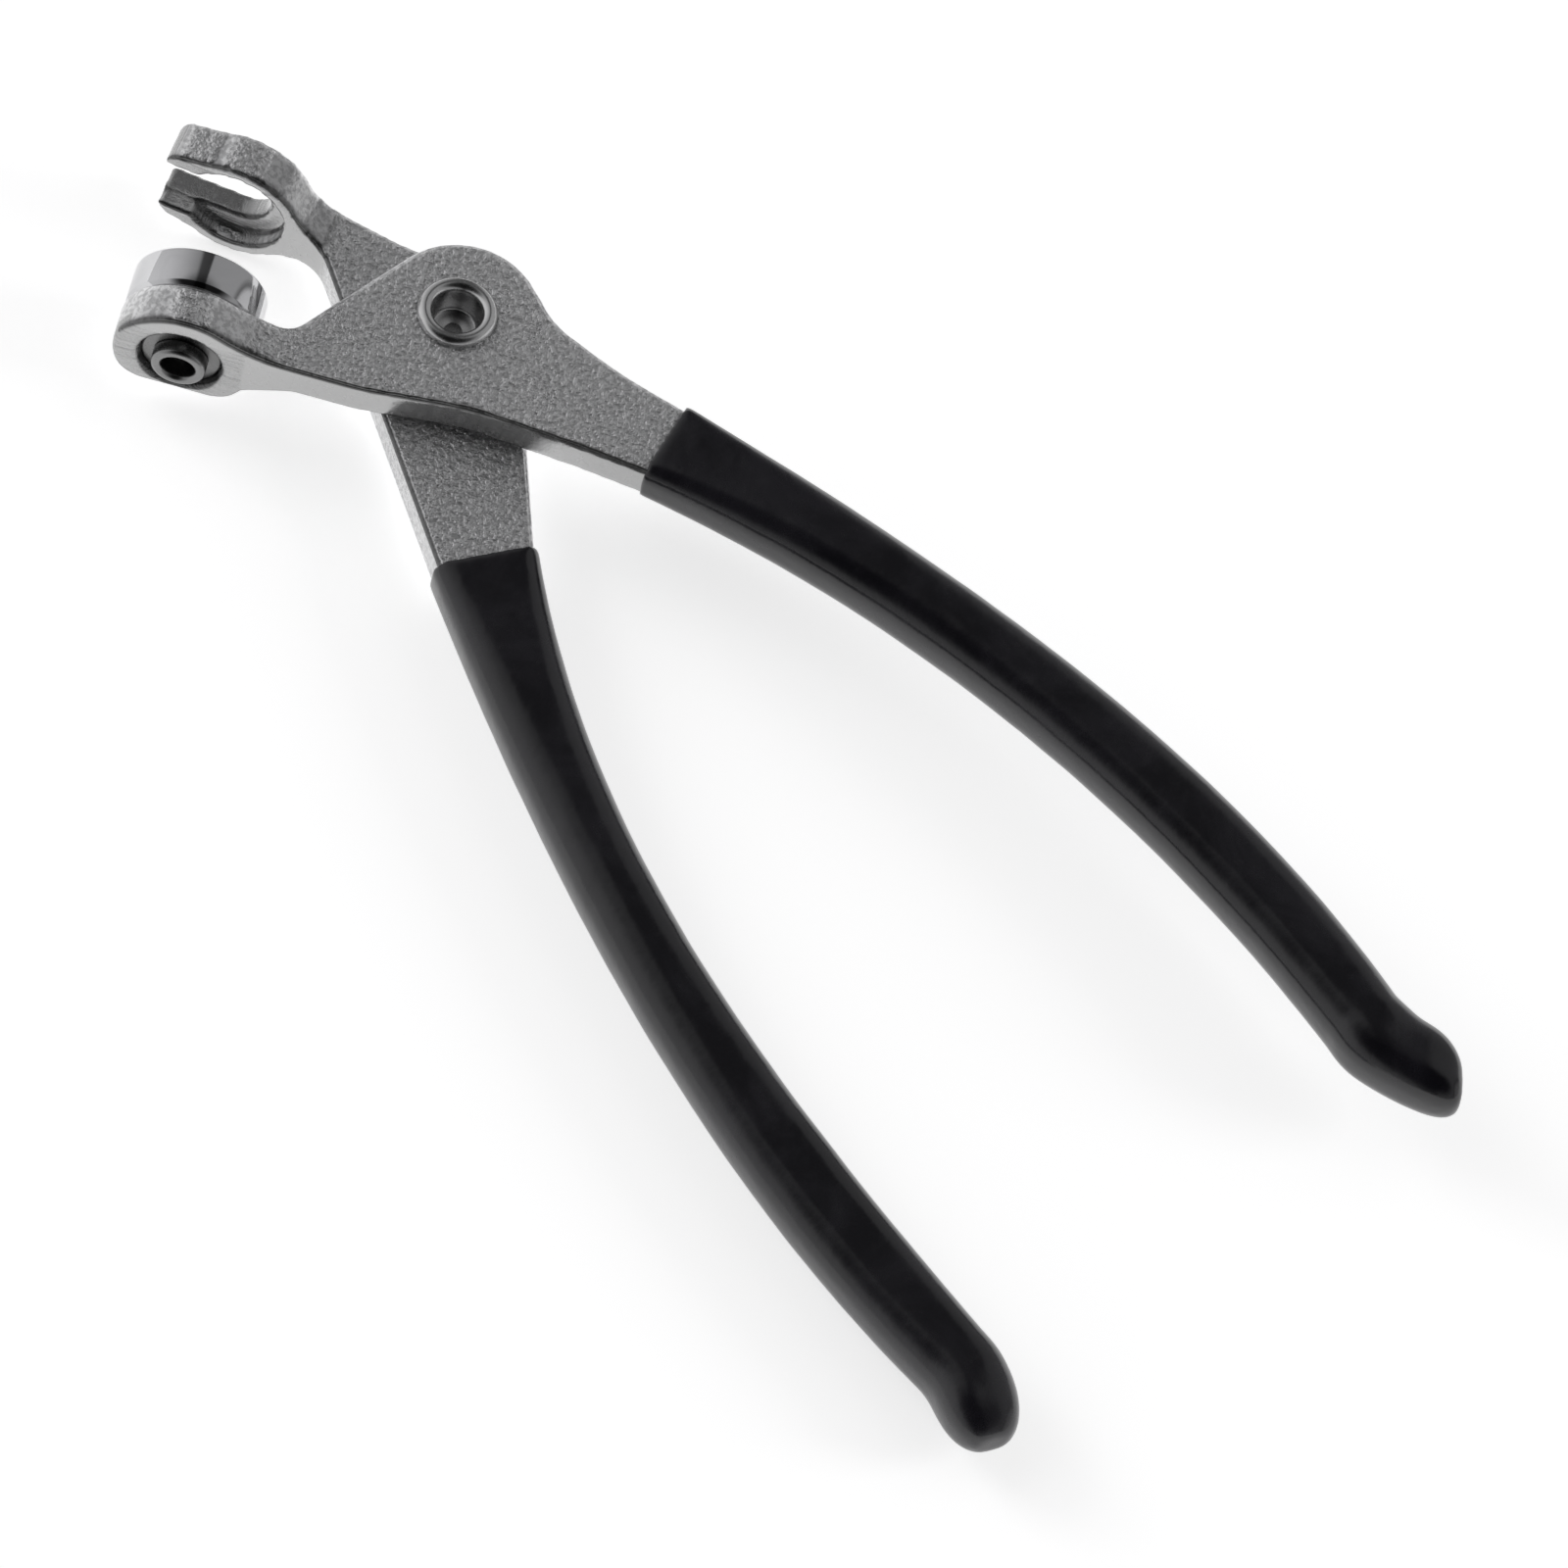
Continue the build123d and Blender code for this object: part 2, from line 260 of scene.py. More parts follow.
def handling_group() -> bpy.types.NodeTree:
    """Build the faint cloudy marks that fingers and cloth leave on a surface.

    Returns:
        The effect's node group.
    """
    inputs = {"Place": SocketKind.VECTOR, "Marks per metre": SocketKind.NUMBER}
    tree, g, given = new_group("handling_marks", inputs, ("Marks", "Scuffs"))
    scale = given.outputs["Marks per metre"]
    place = given.outputs["Place"]
    clouds = g.add(
        "ShaderNodeTexNoise",
        {"Vector": place, "Scale": scale, "Detail": 4.0, "Roughness": 0.6, "Distortion": 0.8},
    )
    fine = g.add(
        "ShaderNodeTexNoise",
        {"Vector": place, "Scale": g.math("MULTIPLY", scale, 11.0), "Detail": 5.0, "Roughness": 0.7},
    )
    out = g.add("NodeGroupOutput")
    g.tree.links.new(g.fade(clouds.outputs[0], 0.38, 0.66), out.inputs["Marks"])
    g.tree.links.new(g.fade(fine.outputs[0], 0.52, 0.72), out.inputs["Scuffs"])
    return tree


def tool_lines_group() -> bpy.types.NodeTree:
    """Build the fine parallel lines that a cutter or a lathe leaves along one direction.

    Returns:
        The effect's node group.
    """
    inputs = {"Across": SocketKind.NUMBER, "Place": SocketKind.VECTOR, "Lines per metre": SocketKind.NUMBER}
    tree, g, given = new_group("tool_lines", inputs, ("Height",))
    across = g.math("MULTIPLY", given.outputs["Across"], given.outputs["Lines per metre"])
    wander = g.add("ShaderNodeTexNoise", {"Vector": given.outputs["Place"], "Scale": 500.0, "Detail": 2.0})
    line = g.add(
        "ShaderNodeTexNoise",
        {"W": g.math("ADD", across, wander.outputs[0]), "Scale": 1.0, "Detail": 3.0},
        noise_dimensions="1D",
    )
    out = g.add("NodeGroupOutput")
    g.tree.links.new(line.outputs[0], out.inputs["Height"])
    return tree


@dataclass
class Effects:
    """The shared surface effects, built once."""

    grain: bpy.types.NodeTree = field(default_factory=cast_grain_group)
    handling: bpy.types.NodeTree = field(default_factory=handling_group)
    tool_lines: bpy.types.NodeTree = field(default_factory=tool_lines_group)


# ----------------------------------------------------------------------------
# Finishes
# ----------------------------------------------------------------------------


@dataclass(frozen=True)
class CutRegion:
    """A region of a casting that was cut after casting, so its skin is gone."""

    end: float
    half_depth: float
    lowest: float = -1.0
    highest: float = 1.0
    border: float = 0.4 * MM
    end_border: float = 1.0 * MM
    side_border: float = 0.5 * MM


@dataclass(frozen=True)
class CastPlating:
    """Satin nickel plate over a pebbled casting, smooth where the casting was ground, with a painted dark
    reflection along its lower rounded edges.
    """

    name: str
    cut: CutRegion
    jaw_middle: float
    dark: tuple[float, float, float] = (0.56, 0.56, 0.565)
    light: tuple[float, float, float] = (0.88, 0.88, 0.885)
    ground: tuple[float, float, float] = (0.46, 0.46, 0.46)
    # edge is the colour of a painted dark reflection: near-black laid on the lower rounded edges, standing
    # for the dark camera side that they mirror.
    edge: tuple[float, float, float] = (0.07, 0.07, 0.07)
    edge_painted_reflection: float = 0.88
    edge_rub: float = 0.75
    metallic: float = 0.84
    pebbles_per_metre: float = 1500.0
    pebble_depth: float = 0.60 * MM
    marks_per_metre: float = 90.0
    cutter_lines_per_metre: float = 5200.0
    cutter_line_share: float = 0.22
    least_skin: float = 0.10

    def build(self, effects: Effects) -> bpy.types.Material:
        """Make the material.

        Args:
            effects: The shared effects.

        Returns:
            The plating's material.
        """
        material, g, place = start_material(self.name)
        spot = g.add("ShaderNodeSeparateXYZ", {0: place.outputs["Object"]})
        facing = g.add("ShaderNodeSeparateXYZ", {0: place.outputs["Normal"]})
        sideways = g.math("ABSOLUTE", facing.outputs["Y"])
        cast = g.fade(sideways, 0.80, 0.42)
        cut = self.cut_mask(g, spot)
        skin = g.math("MULTIPLY", cast, g.math("SUBTRACT", 1.0, cut))
        skin = g.math("MAXIMUM", skin, self.least_skin)
        upright = g.math("ABSOLUTE", facing.outputs["Z"])
        edge = g.math("MULTIPLY", g.fade(upright, 0.99, 0.93), g.fade(upright, 0.14, 0.36))
        grain = g.group(
            effects.grain,
            {"Place": place.outputs["Object"], "Pebbles per metre": self.pebbles_per_metre},
        )
        marks = g.group(
            effects.handling,
            {"Place": place.outputs["Object"], "Marks per metre": self.marks_per_metre},
        )
        lines = g.group(
            effects.tool_lines,
            {
                "Across": spot.outputs["Z"],
                "Place": place.outputs["Object"],
                "Lines per metre": self.cutter_lines_per_metre,
            },
        )
        pits = g.math("MULTIPLY", grain.outputs["Pits"], skin)
        bare = g.math("MULTIPLY", g.math("SUBTRACT", 1.0, skin), 0.8)
        shade = g.math("ADD", g.math("MULTIPLY", pits, 0.85), bare, clamp=True)
        skin_colour = g.tint(shade, self.dark, self.light)
        tones = {0: skin, 6: (*self.ground, 1.0), 7: skin_colour}
        plated = g.add("ShaderNodeMix", tones, data_type="RGBA").outputs[2]
        # Painted dark reflection: rounded edges that face down are darkened in the colour itself, in place of
        # the dark surroundings that they mirror.
        lower = g.fade(facing.outputs["Y"], 0.10, -0.25)
        painted_reflection = g.math("MULTIPLY", g.math("MULTIPLY", edge, lower), self.edge_painted_reflection)
        edged = {0: painted_reflection, 6: plated, 7: (*self.edge, 1.0)}
        colour = g.add("ShaderNodeMix", edged, data_type="RGBA").outputs[2]
        rough_skin = g.math("ADD", 0.27, g.math("MULTIPLY", marks.outputs["Marks"], 0.07))
        rough_ground = g.math("ADD", 0.24, g.math("MULTIPLY", marks.outputs["Scuffs"], 0.10))
        rough = g.add("ShaderNodeMix", {0: skin, 2: rough_ground, 3: rough_skin}).outputs[0]
        rubbed = g.math("SUBTRACT", 1.0, g.math("MULTIPLY", edge, self.edge_rub))
        heights = g.math("MULTIPLY", g.math("MULTIPLY", grain.outputs["Height"], skin), rubbed)
        cut_lines = g.math("MULTIPLY", lines.outputs["Height"], cut)
        cut_lines = g.math("MULTIPLY", cut_lines, self.cutter_line_share)
        bump = g.add(
            "ShaderNodeBump",
            {"Height": g.math("ADD", heights, cut_lines), "Strength": 1.0, "Distance": self.pebble_depth},
        )
        finish_metal(g, colour, rough, bump.outputs[0], self.metallic)
        return material

    def cut_mask(self, g: Graph, spot: bpy.types.Node) -> bpy.types.NodeSocket:
        """Mask the machined region.

        Args:
            g: The material's graph.
            spot: The place on the piece, split into X, Y and Z.

        Returns:
            1 inside the machined region and 0 on the cast skin.
        """
        depth = g.math("ABSOLUTE", g.math("SUBTRACT", spot.outputs["Z"], self.jaw_middle))
        inside = g.fade(depth, self.cut.half_depth, self.cut.half_depth - self.cut.border)
        before = g.fade(spot.outputs["X"], self.cut.end, self.cut.end - self.cut.end_border)
        above = g.fade(spot.outputs["Y"], self.cut.lowest - self.cut.side_border, self.cut.lowest)
        below = g.fade(spot.outputs["Y"], self.cut.highest, self.cut.highest - self.cut.side_border)
        return g.math("MULTIPLY", g.math("MULTIPLY", inside, before), g.math("MULTIPLY", above, below))


@dataclass(frozen=True)
class TurnedPlating:
    """Bright nickel plate over a turned piece, with lathe lines round it."""

    name: str
    colour: tuple[float, float, float]
    worn: tuple[float, float, float]
    roughness: float
    lines_per_metre: float
    line_depth: float
    along: str
    dull_below: float = -1.0
    dull: tuple[float, float, float] = (0.24, 0.24, 0.24)
    dull_roughness: float = 0.22
    dull_border: float = 0.2 * MM
    marks_per_metre: float = 160.0

    def build(self, effects: Effects) -> bpy.types.Material:
        """Make the material.

        Args:
            effects: The shared effects.

        Returns:
            The plating's material.
        """
        material, g, place = start_material(self.name)
        spot = g.add("ShaderNodeSeparateXYZ", {0: place.outputs["Object"]})
        marks = g.group(
            effects.handling,
            {"Place": place.outputs["Object"], "Marks per metre": self.marks_per_metre},
        )
        lines = g.group(
            effects.tool_lines,
            {
                "Across": spot.outputs[self.along],
                "Place": place.outputs["Object"],
                "Lines per metre": self.lines_per_metre,
            },
        )
        bright = g.tint(g.math("MULTIPLY", marks.outputs["Marks"], 0.6), self.colour, self.worn)
        unpolished = g.fade(spot.outputs["Y"], self.dull_below + self.dull_border, self.dull_below)
        tones = {0: unpolished, 6: bright, 7: (*self.dull, 1.0)}
        colour = g.add("ShaderNodeMix", tones, data_type="RGBA").outputs[2]
        haze = g.math("MULTIPLY", marks.outputs["Scuffs"], 0.06)
        dull = g.math("MULTIPLY", marks.outputs["Marks"], 0.03)
        polish = g.math("ADD", g.math("MULTIPLY", unpolished, self.dull_roughness), self.roughness)
        rough = g.math("ADD", dull, g.math("ADD", haze, polish))
        bump = g.add(
            "ShaderNodeBump",
            {"Height": lines.outputs["Height"], "Strength": 1.0, "Distance": self.line_depth},
        )
        finish_metal(g, colour, rough, bump.outputs[0], 1.0)
        return material


@dataclass(frozen=True)
class DippedVinyl:
    """Glossy black vinyl as it cures on a dipped handle: a soft skin with faint ripples."""

    name: str = "dipped_vinyl"
    colour: tuple[float, float, float] = (0.0075, 0.0070, 0.0095)
    rubbed: tuple[float, float, float] = (0.0150, 0.0140, 0.0185)
    roughness: float = 0.20
    coat: float = 0.25
    coat_roughness: float = 0.12
    refraction: float = 1.52
    marks_per_metre: float = 60.0
    ripples_per_metre: float = 420.0
    peel_per_metre: float = 2600.0
    ripple_depth: float = 0.05 * MM

    def build(self, effects: Effects) -> bpy.types.Material:
        """Make the material.

        Args:
            effects: The shared effects.

        Returns:
            The vinyl's material.
        """
        material, g, place = start_material(self.name)
        skin = place.outputs["Object"]
        marks = g.group(effects.handling, {"Place": skin, "Marks per metre": self.marks_per_metre})
        ripple = g.add("ShaderNodeTexNoise", {"Vector": skin, "Scale": self.ripples_per_metre, "Detail": 2.0})
        peel = g.add("ShaderNodeTexNoise", {"Vector": skin, "Scale": self.peel_per_metre, "Detail": 2.0})
        height = g.math("ADD", ripple.outputs[0], g.math("MULTIPLY", peel.outputs[0], 0.10))
        colour = g.tint(marks.outputs["Marks"], self.colour, self.rubbed)
        scuffed = g.math("MULTIPLY", marks.outputs["Scuffs"], 0.05)
        dull = g.math("ADD", g.math("MULTIPLY", marks.outputs["Marks"], 0.08), scuffed)
        rough = g.math("ADD", dull, self.roughness)
        bump = g.add("ShaderNodeBump", {"Height": height, "Strength": 1.0, "Distance": self.ripple_depth})
        shader = g.add(
            "ShaderNodeBsdfPrincipled",
            {
                "Base Color": colour,
                "Roughness": rough,
                "Normal": bump.outputs[0],
                "IOR": self.refraction,
                "Coat Weight": self.coat,
                "Coat Roughness": self.coat_roughness,
            },
        )
        g.add("ShaderNodeOutputMaterial", {"Surface": shader.outputs[0]})
        return material


def start_material(name: str) -> tuple[bpy.types.Material, Graph, bpy.types.Node]:
    """Make an empty node material.

    Args:
        name: The material's name.

    Returns:
        The material, its graph and its coordinates.
    """
    material = bpy.data.materials.new(name)
    material.use_nodes = True
    graph = Graph(material.node_tree)
    return material, graph, graph.add("ShaderNodeTexCoord")


def finish_metal(
    g: Graph, colour: object, rough: object, normal: bpy.types.NodeSocket, metallic: float
) -> None:
    """Close a metal material with its shader.

    Args:
        g: The material's graph.
        colour: Base colour.
        rough: Roughness.
        normal: The bumped normal.
        metallic: The share of bare metal against the cloudy film over it.
    """
    shader = g.add(
        "ShaderNodeBsdfPrincipled",
        {"Base Color": colour, "Roughness": rough, "Metallic": metallic, "Normal": normal},
    )
    g.add("ShaderNodeOutputMaterial", {"Surface": shader.outputs[0]})


# ----------------------------------------------------------------------------
# Mesh work
# ----------------------------------------------------------------------------


def only(obj: bpy.types.Object) -> None:
    """Make one object the only selected and active one.

    Args:
        obj: The object.
    """
    bpy.ops.object.select_all(action="DESELECT")
    obj.select_set(True)
    bpy.context.view_layer.objects.active = obj


def apply_modifier(obj: bpy.types.Object, kind: str, **settings: object) -> None:
    """Add a modifier and apply it.

    Args:
        obj: The object to change.
        kind: The modifier's type.
        **settings: The modifier's properties.
    """
    only(obj)
    modifier = obj.modifiers.new(kind.lower(), kind)
    for key, value in settings.items():
        setattr(modifier, key, value)
    bpy.ops.object.modifier_apply(modifier=modifier.name)


def merged_copy(node: bpy.types.Object, name: str) -> bpy.types.Object:
    """Copy a CAD node's mesh into a new object with its doubles merged.

    Args:
        node: The CAD node.
        name: The copy's name.

    Returns:
        The copy, in place at the origin, with no materials.
    """
    mesh = node.data.copy()
    mesh.name = name
    mesh.materials.clear()
    copy = bpy.data.objects.new(name, mesh)
    bpy.context.scene.collection.objects.link(copy)
    only(copy)
    bpy.ops.object.mode_set(mode="EDIT")
    bpy.ops.mesh.select_all(action="SELECT")
    bpy.ops.mesh.remove_doubles(threshold=MERGE_DISTANCE / 2)
    bpy.ops.object.mode_set(mode="OBJECT")
    return copy


def spin_profile(
    name: str, profile: Sequence[tuple[float, float]], segments: int, place: Matrix, solid_ends: bool
) -> bpy.types.Object:
    """Turn a piece from a profile, ring by ring, as on a lathe.

    Args:
        name: The piece's name.
        profile: (radius, height) from one end of the axis round to the other.
        segments: Faces round the axis.
        place: Where the axis and its zero height lie.
        solid_ends: Whether the first and last rings are filled in.

    Returns:
        The piece, with its place in its mesh.
    """
    bpy.ops.object.select_all(action="DESELECT")
    radius, height = profile[0]
    fill = "NGON" if solid_ends else "NOTHING"
    bpy.ops.mesh.primitive_circle_add(
        vertices=segments, radius=radius, location=(0, 0, height), fill_type=fill
    )
    piece = bpy.context.active_object
    piece.name = piece.data.name = name
    bpy.ops.object.mode_set(mode="EDIT")
    bpy.ops.mesh.select_mode(type="EDGE")
    bpy.ops.mesh.select_all(action="SELECT")
    for next_radius, next_height in profile[1:]:
        bpy.ops.mesh.extrude_edges_move(TRANSFORM_OT_translate={"value": (0, 0, next_height - height)})
        share = next_radius / radius
        bpy.ops.transform.resize(value=(share, share, 1), center_override=(0, 0, next_height))
        radius, height = next_radius, next_height
    if solid_ends:
        bpy.ops.mesh.edge_face_add()
    bpy.ops.mesh.select_all(action="SELECT")
    bpy.ops.mesh.remove_doubles(threshold=MERGE_DISTANCE)
    bpy.ops.mesh.normals_make_consistent(inside=False)
    bpy.ops.object.mode_set(mode="OBJECT")
    piece.data.transform(place @ piece.matrix_world)
    piece.matrix_world = Matrix.Identity(4)
    only(piece)
    bpy.ops.object.shade_smooth_by_angle(angle=SMOOTH_ANGLE)
    return piece


def jaw_axis(node: str) -> Matrix:
    """Find where a piece that is turned about the jaw axis stands.

    Args:
        node: The CAD node that the piece replaces.

    Returns:
        A turn of the lathe's axis onto the jaw axis, with zero height at the node's low end.
    """
    low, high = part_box(node)
    foot = Vector(((low.x + high.x) / 2, low.y, (low.z + high.z) / 2))
    return Matrix.Translation(foot) @ Matrix.Rotation(math.radians(-90), 4, "X")


def arc(
    centre: tuple[float, float], radius: float, start: float, end: float, steps: int
) -> list[tuple[float, float]]:
    """Place points along an arc of a profile.

    Args:
        centre: The arc's centre, as radius and height.
        radius: The arc's radius.
        start: First angle in degrees, from the outward direction.
        end: Last angle in degrees.
        steps: Spaces between the points.

    Returns:
        The points, as radius and height.
    """
    points = []
    for step in range(steps + 1):
        angle = math.radians(start + (end - start) * step / steps)
        points.append((centre[0] + radius * math.cos(angle), centre[1] + radius * math.sin(angle)))
    return points


def settle(
    piece: bpy.types.Object, side: Side, material: bpy.types.Material, node: str
) -> None:
    """Dress a finished piece, let it ride on its body, and let it stand for its CAD node.

    Args:
        piece: The finished piece.
        side: The body it rides on.
        material: Its material.
        node: The CAD node it replaces.
    """
    piece.data.materials.clear()
    piece.data.materials.append(material)
    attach(piece, side.value)
    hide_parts(node)
    log.info("%s: %d faces on %s", piece.name, len(piece.data.polygons), side.value)


@dataclass
class Lever:
    """A cast and plated lever with rounded edges."""

    node: str
    side: Side
    voxel: float = 0.31 * MM
    rounding: int = 38

    def build(self, nodes: dict) -> bpy.types.Object:
        """Round every edge of the lever's CAD shape, as casting and tumbling leave it.

        Args:
            nodes: The CAD nodes by name.

        Returns:
            The lever's mesh object.
        """
        piece = merged_copy(nodes[self.node], f"{self.node}_casting")
        apply_modifier(piece, "REMESH", mode="VOXEL", voxel_size=self.voxel)
        apply_modifier(piece, "SMOOTH", factor=0.5, iterations=self.rounding)
        only(piece)
        bpy.ops.object.shade_smooth()
        return piece


@dataclass
class Grip:
    """A dipped vinyl grip with a rounded lip at its mouth and a soft blunt end."""

    node: str
    side: Side
    voxel: float = 0.36 * MM
    softening: int = 20
    ripple: float = 0.10 * MM
    ripple_length: float = 7.0 * MM

    def build(self, nodes: dict) -> bpy.types.Object:
        """Soften the grip's CAD shape and let the coat run a little uneven.

        Args:
            nodes: The CAD nodes by name.

        Returns:
            The grip's mesh object.
        """
        piece = merged_copy(nodes[self.node], f"{self.node}_dipped")
        apply_modifier(piece, "REMESH", mode="VOXEL", voxel_size=self.voxel)
        apply_modifier(piece, "SMOOTH", factor=0.5, iterations=self.softening)
        runs = bpy.data.textures.new(f"{self.node}_runs", "CLOUDS")
        runs.noise_scale = self.ripple_length
        runs.noise_depth = 1
        flow = {"texture": runs, "texture_coords": "LOCAL", "strength": self.ripple, "mid_level": 0.5}
        apply_modifier(piece, "DISPLACE", **flow)
        only(piece)
        bpy.ops.object.shade_smooth()
        return piece


@dataclass
class PivotRivet:
    """The tubular rivet: domed far head, hollow near end rolled over."""

    node: str = "pivot_rivet"
    shank: float = 4.2 * MM
    hollow: float = 3.2 * MM
    hollow_depth: float = 3.9 * MM
    roll: float = 5.2 * MM
    roll_foot: float = 0.15 * MM
    floor: float = 2.3 * MM
    floor_round: float = 0.5 * MM
    punch_mark: float = 1.1 * MM
    head: float = 5.8 * MM
    head_height: float = 1.7 * MM
    head_rim: float = 0.35 * MM
    head_edge: float = 0.1 * MM

    def build(self) -> bpy.types.Object:
        """Turn the rivet on the pivot axis.

        Returns:
            The rivet's mesh object.
        """
        low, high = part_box(self.node)
        bottom, crest = low.z, high.z
        half = (self.roll - self.hollow) / 2
        middle = (self.hollow + self.roll) / 2
        floor = -self.hollow_depth
        profile = [(AXIS_HOLE, floor), (self.punch_mark, floor)]
        profile += [(self.punch_mark + 0.1 * MM, floor - 0.25 * MM), (self.floor, floor - 0.05 * MM)]
        corner = (self.hollow - self.floor_round, floor + self.floor_round)
        profile += arc(corner, self.floor_round, -80, 0, 4)
        profile += [(self.hollow, crest - 1.3 * half)]
        profile += arc((middle, crest - half), half, 170, 10, 12)
        profile += [(self.roll, self.roll_foot), (self.roll - self.roll_foot, 0.0), (self.shank, 0.0)]
        head_top = bottom + self.head_height
        profile += [(self.shank, head_top), (self.head - self.head_edge, head_top)]
        profile += [(self.head, head_top - self.head_edge)]
        dome = self.head_height - self.head_rim
        dome_steps = 10
        for step in range(1, dome_steps + 1):
            angle = math.radians(90 * step / dome_steps)
            radius = max(self.head * math.cos(angle), AXIS_HOLE)
            profile.append((radius, head_top - self.head_rim - dome * math.sin(angle)))
        return spin_profile("pivot_rivet_turned", profile, 96, Matrix.Identity(4), solid_ends=True)


@dataclass
class SettingDie:
    """The polished die with its dished top and its rolled tubular shank."""

    node: str = "setting_die"
    radius: float = 8.8 * MM
    height: float = 5.6 * MM
    edge_round: float = 0.4 * MM
    foot_chamfer: float = 0.6 * MM
    cup: float = 6.6 * MM
    cup_depth: float = 1.2 * MM
    shank: float = 3.0 * MM
    hollow: float = 2.2 * MM
    hollow_depth: float = 6.5 * MM
    roll: float = 3.6 * MM
    roll_height: float = 2.2 * MM
    roll_edge: float = 0.2 * MM
    hollow_corner: float = 0.3 * MM
    chamfer_break: float = 0.1 * MM
    cup_rim: float = 0.2 * MM
    cup_step: float = 0.35
    cup_bevel: tuple[float, float] = (0.05 * MM, 0.06 * MM)

    def build(self) -> bpy.types.Object:
        """Turn the die on the jaw axis.

        Returns:
            The die's mesh object.
        """
        low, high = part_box(self.node)
        span = high.y - low.y
        foot = span - self.height
        lip = (self.roll - self.hollow) / 2
        middle = (self.roll + self.hollow) / 2
        hollow_wall_end = self.hollow_depth - self.hollow_corner
        profile = [(AXIS_HOLE, self.hollow_depth), (self.hollow - self.hollow_corner, self.hollow_depth)]
        profile += [(self.hollow, hollow_wall_end), (self.hollow, 1.2 * lip)]
        profile += arc((middle, lip), lip, 190, 350, 12)
        profile += [(self.roll, self.roll_height - self.roll_edge)]
        profile += [(self.roll - self.roll_edge, self.roll_height)]
        profile += [(self.shank, self.roll_height), (self.shank, foot)]
        slope_end = foot + self.foot_chamfer
        profile += [(self.radius - self.foot_chamfer, foot)]
        profile += [(self.radius - self.chamfer_break, slope_end - self.chamfer_break)]
        profile += [(self.radius, slope_end + self.chamfer_break)]
        profile += arc((self.radius - self.edge_round, span - self.edge_round), self.edge_round, 0, 90, 6)
        bevel_out, bevel_down = self.cup_bevel
        profile += [(self.cup + self.cup_rim, span), (self.cup + bevel_out, span - bevel_down)]
        profile += [(self.cup, span - self.cup_rim)]
        dish_steps = 8
        for step in range(1, dish_steps + 1):
            share = step / dish_steps
            dish = self.cup_step + (1 - self.cup_step) * math.sin(math.radians(90 * share))
            profile.append((max(self.cup * (1 - share), AXIS_HOLE), span - self.cup_depth * dish))
        return spin_profile("setting_die_turned", profile, 128, jaw_axis(self.node), solid_ends=True)


@dataclass
class DieWasher:
    """The flat washer under the die's rolled shank."""

    node: str = "die_washer"
    radius: float = 5.2 * MM
    bore: float = 3.0 * MM
    edge: float = 0.25 * MM

    def build(self) -> bpy.types.Object:
        """Turn the washer on the jaw axis.

        Returns:
            The washer's mesh object.
        """
        low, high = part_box(self.node)
        thick = high.y - low.y
        inner = self.radius - self.edge
        section = [(self.bore, thick), (self.bore, 0.0), (inner, 0.0)]
        section += arc((inner, self.edge), self.edge, -60, 0, 3)
        section += [(self.radius, thick - self.edge), (inner, thick), (self.bore, thick)]
        return spin_profile("die_washer_stamped", section, 96, jaw_axis(self.node), solid_ends=False)


# ----------------------------------------------------------------------------
# Studio
# ----------------------------------------------------------------------------


@dataclass(frozen=True)
class Lamp:
    """One soft box."""

    name: str
    place: tuple[float, float, float]
    size: float
    power: float

    def build(self, target: Vector) -> None:
        """Hang the soft box, turn it to the target and keep it out of reflections.

        Args:
            target: The point it lights.
        """
        data = bpy.data.lights.new(self.name, "AREA")
        data.shape = "SQUARE"
        data.size = self.size
        data.energy = self.power
        lamp = bpy.data.objects.new(self.name, data)
        lamp.location = target + Vector(self.place)
        lamp.rotation_euler = (-Vector(self.place)).to_track_quat("-Z", "Y").to_euler()
        lamp.visible_glossy = False
        bpy.context.scene.collection.objects.link(lamp)


